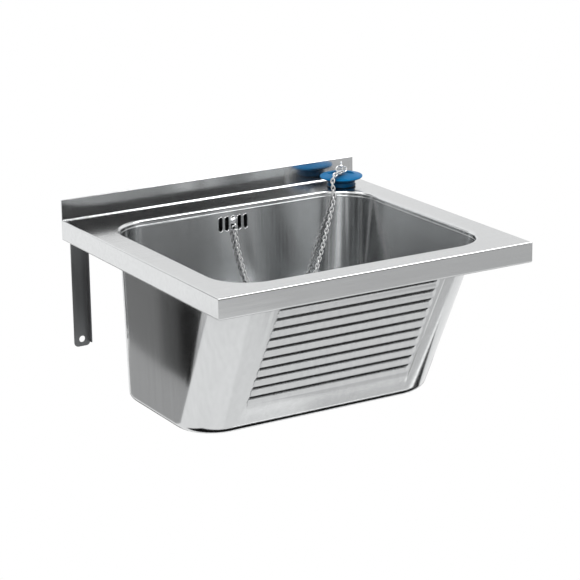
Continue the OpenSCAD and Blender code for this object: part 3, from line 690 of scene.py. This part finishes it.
def arc(cx, cz, r, start, end, steps):
    """Points of an arc in a section, angles in degrees."""
    return [(cx + r * math.cos(math.radians(start + (end - start) * k / steps)),
             cz + r * math.sin(math.radians(start + (end - start) * k / steps)))
            for k in range(steps + 1)]


cap = [(r, dome_z(r)) for r in (2.4, 3.5, 5, 7, 9, 12, 15, 18, 21, 24, 26.5, 28.5, 29.6)]
cap += arc(31.3, 15.1, 1.45, 128, -40, 9)
cap += [(31.4, 13.3), (28, 12.9), (24, 12.5), (21.6, 12.1)]
for ring_z in SEALING_RINGS:
    cap += [(20.8, ring_z + 1.3)] + arc(20.9, ring_z, 0.75, 80, -80, 4)
cap += [(20.8, 5.4), (21.2, 4.4)] + arc(21.4, 2.2, 1.0, 60, -60, 5) + [(21.4, 0.5), (20.9, 0)]
cap += [(18.4, 0), (17.6, 0.5), (17.4, 6), (16.8, 12), (15.5, 14.6), (11, 16.4),
        (6, 17.6), (2.4, 18.2)]
print(len(cap), "points in the plug's section")

# %% Spin the section
PLUG_STEPS = 72
bm = bmesh.new()
verts = [bm.verts.new((r, 0, z)) for r, z in cap]
loop = [bm.edges.new((verts[k], verts[(k + 1) % len(verts)])) for k in range(len(verts))]
bmesh.ops.spin(bm, geom=verts + loop, cent=(0, 0, 0), axis=(0, 0, 1),
               angle=2 * math.pi, steps=PLUG_STEPS)
bmesh.ops.remove_doubles(bm, verts=bm.verts, dist=0.001)
bmesh.ops.recalc_face_normals(bm, faces=bm.faces)
bmesh.ops.translate(bm, vec=(PLUG_X, PLUG_Y, 0), verts=bm.verts)
to_metres(bm)
make_piece(bm, "rubber_plug", blue_rubber, "plug_body", ("plug",))

# %% Ridges on the dome
RIDGE_TURN = math.radians(-30.6)
RIDGE_START, RIDGE_LONG, RIDGE_STEPS = 5.6, 15.6, 14
RIDGE_HIGH, RIDGE_HALF, RIDGE_SUNK = 2.3, 1.7, 0.25
# Across a ridge: sideways share, and share of its height.
RIDGE_SECTION = ((-1, 0), (-0.78, 0.7), (-0.4, 1), (0.4, 1), (0.78, 0.7), (1, 0))
bm = bmesh.new()
for turn in (RIDGE_TURN, RIDGE_TURN + math.pi):
    rows = []
    for k in range(RIDGE_STEPS + 1):
        r = RIDGE_START + RIDGE_LONG * k / RIDGE_STEPS
        high = RIDGE_HIGH * math.sin(math.pi * k / RIDGE_STEPS) ** 0.8 + 0.02
        rows.append([bm.verts.new((r, side * RIDGE_HALF,
                                   dome_z(r) - RIDGE_SUNK + lift * (high + RIDGE_SUNK)))
                     for side, lift in RIDGE_SECTION])
    for near, far in zip(rows, rows[1:]):
        for k in range(5):
            bm.faces.new((near[k], far[k], far[k + 1], near[k + 1]))
    for row in (rows[0], rows[-1]):
        bm.faces.new(row)
    verts = [v for row in rows for v in row]
    bmesh.ops.rotate(bm, verts=verts, cent=(0, 0, 0), matrix=Matrix.Rotation(turn, 3, "Z"))
bmesh.ops.recalc_face_normals(bm, faces=bm.faces)
bmesh.ops.translate(bm, vec=(PLUG_X, PLUG_Y, 0), verts=bm.verts)
to_metres(bm)
make_piece(bm, "plug_ridges", blue_rubber, "plug_body", (), 50)

# %% [markdown]
# ## Finishes on the carried-over parts
# Parts whose shape is already right keep it and only get their finish.

# %% Give each part its finish
FINISHES = {
    deck_steel: ["deck"], tub_steel: ["bowl"],
    bracket_steel: ["left_bracket", "right_bracket"],
    bright_steel: ["waste_flange", "waste_screw"],
    plated: ["overflow_screw", "chain_stay", "stay_ring", "chain", "chain_lead",
             "plug_post", "plug_washer", "plug_ring"],
    fitting_plastic: ["waste_body", "overflow_housing", "overflow_pipe", "housing_nut",
                      "inlet_nut"],
    black_rubber: ["waste_seal", "waste_gasket", "overflow_gasket", "housing_seal", "inlet_seal"],
    blue_rubber: ["plug"]}
for finish, names in FINISHES.items():
    for name in names:
        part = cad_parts[name]
        part.data.materials.clear()
        part.data.materials.append(finish)
print(sum(len(n) for n in FINISHES.values()), "parts have a finish")

# %% [markdown]
# ## Studio
# The picture has a plain white ground. The floor and the world turn white for
# the camera and for reflections alone, so the steel mirrors a white room while
# the lamps stay soft. Steel looks like what stands round it, so dark, grey and
# bright cards that only reflections show stand about the sink and lie on the
# floor. They belong to the studio and not to the sink.

# %% White room
ROOM_LIGHT = 0.55


def seen_directly(tree):
    """1 for rays from the camera, from a reflection or through glass."""
    path = tree.nodes.new("ShaderNodeLightPath").outputs
    first = add(tree, "ShaderNodeMath", {},
                {0: path["Is Camera Ray"], 1: path["Is Glossy Ray"]}, operation="MAXIMUM")
    both = add(tree, "ShaderNodeMath", {},
               {0: first.outputs[0], 1: path["Is Transmission Ray"]}, operation="MAXIMUM")
    return both.outputs[0]


def shader_mix(tree, share, a, b):
    return add(tree, "ShaderNodeMixShader", {}, {0: share, 1: a, 2: b}).outputs[0]


world = bpy.data.worlds.new("white_room")
bpy.context.scene.world = world
world.use_nodes = True
tree = world.node_tree
tree.nodes.clear()
room = add(tree, "ShaderNodeBackground", {"Strength": ROOM_LIGHT}, {})
white = add(tree, "ShaderNodeBackground", {"Color": (1, 1, 1, 1), "Strength": 1.0}, {})
around = shader_mix(tree, seen_directly(tree), room.outputs[0], white.outputs[0])
add(tree, "ShaderNodeOutputWorld", {}, {"Surface": around})
print("the room is white")

# %% Floor
FLOOR_Z, FLOOR_HALF = -0.85, 12
bm = bmesh.new()
bmesh.ops.create_grid(bm, x_segments=1, y_segments=1, size=FLOOR_HALF,
                      matrix=Matrix.Translation((0, 0, FLOOR_Z)))
floor = new_object(bm, "floor")
pale, tree, matt = new_finish("pale_floor")
matt.inputs["Base Color"].default_value = (0.8, 0.8, 0.8, 1)
matt.inputs["Roughness"].default_value = 0.9
glow = add(tree, "ShaderNodeEmission", {"Color": (1, 1, 1, 1)}, {})
ground = shader_mix(tree, seen_directly(tree), matt.outputs[0], glow.outputs[0])
side = tree.nodes.new("ShaderNodeNewGeometry")
clear = tree.nodes.new("ShaderNodeBsdfTransparent")
top_only = shader_mix(tree, side.outputs["Backfacing"], ground, clear.outputs[0])
tree.links.new(top_only, tree.nodes["Material Output"].inputs["Surface"])
floor.data.materials.append(pale)
print("floor at", FLOOR_Z)

# %% Cards for the reflections
def screen(name, centre, aim, across, high, glow):
    """A card that only mirrors see, with an even brightness."""
    bm = bmesh.new()
    bmesh.ops.create_grid(bm, x_segments=1, y_segments=1, size=0.5)
    turn = (Vector(aim) - Vector(centre)).to_track_quat("Z", "Y").to_matrix().to_4x4()
    bmesh.ops.scale(bm, vec=(across, high, 1), verts=bm.verts)
    bmesh.ops.transform(bm, matrix=Matrix.Translation(centre) @ turn, verts=bm.verts)
    card = new_object(bm, name)
    cloth, tree, _ = new_finish(name)
    light = add(tree, "ShaderNodeEmission", {"Color": (glow, glow, glow, 1)}, {})
    tree.links.new(light.outputs[0], tree.nodes["Material Output"].inputs["Surface"])
    card.data.materials.append(cloth)
    card.visible_camera = False
    card.visible_diffuse = False
    card.visible_shadow = False


# %% Cards that stand about the sink
SINK = (0, -0.2, -0.05)
screen("dark_screen", (0.84, -2.27, 0.72), SINK, 1.36, 1.4, 0.02)
screen("left_screen", (-1.55, 1.35, 1.20), SINK, 1.4, 1.1, 0.03)
screen("high_screen", (1.00, 1.00, 1.70), SINK, 1.0, 0.8, 0.05)
screen("deck_screen", (1.35, 2.30, 0.86), SINK, 2.4, 0.5, 0.82)
screen("top_screen", (-0.09, -0.25, 1.50), SINK, 1.12, 1.1, 0.10)
screen("glint_screen", (-1.05, 0.35, 1.50), SINK, 0.7, 0.5, 2.6)
screen("apron_screen", (0.62, -1.30, -0.23), SINK, 1.7, 0.34, 0.50)
SIDE_X, SIDE_Z, SIDE_HIGH = -0.30, -0.175, 0.14
for name, start, end, glow in (("side_screen", -0.21, -0.11, 0.012),
                               ("side_screen_middle", -0.11, -0.04, 0.10),
                               ("side_screen_back", -0.04, 0.21, 0.22)):
    middle = (start + end) / 2
    screen(name, (SIDE_X, middle, SIDE_Z), (0, middle, SIDE_Z), end - start, SIDE_HIGH, glow)
print("cards stand about the sink")

# %% Cards that lie on the floor
CARD_LIFT = 0.03
# Each row: name, middle in x and y, width, depth, brightness.
for name, x, y, wide, deep, glow in (("front_card", 1.08, -1.54, 1.14, 1.32, 0.86),
                                     ("left_front_card", 0.23, -1.54, 0.54, 1.32, 0.92),
                                     ("wall_card", 0.65, -0.65, 0.7, 0.46, 0.66),
                                     ("left_card", 0.10, -0.65, 0.4, 0.46, 0.90),
                                     ("bright_card", 0.50, -0.39, 0.8, 0.06, 1.8),
                                     ("groove_card", 0.20, -0.145, 1.4, 0.43, 0.01),
                                     ("side_card", -0.85, 1.15, 1.0, 1.2, 0.42),
                                     ("right_side_card", 0.95, 1.15, 0.6, 1.0, 0.42),
                                     ("edge_card", 0.50, 0.90, 1.2, 0.80, 0.01)):
    screen(name, (x, y, FLOOR_Z + CARD_LIFT), (x, y, 0), wide, deep, glow)
print("cards lie on the floor")

# %% Lamps
LAMP_AIM = (0, -0.2, -0.1)


def lamp(name, place, size, power):
    light = bpy.data.lights.new(name, "AREA")
    light.shape = "SQUARE"
    light.size = size
    light.energy = power
    holder = bpy.data.objects.new(name, light)
    bpy.context.scene.collection.objects.link(holder)
    holder.matrix_world = Matrix.Translation(place) @ (
        Vector(LAMP_AIM) - Vector(place)).to_track_quat("-Z", "Y").to_matrix().to_4x4()
    print(name, power, "W")


lamp("key_lamp", (-1.6, -2.2, 2.2), 1.6, 45)
lamp("side_lamp", (1.30, -0.75, 2.10), 0.9, 16)

# %% View settings
bpy.context.scene.view_settings.view_transform = "Standard"
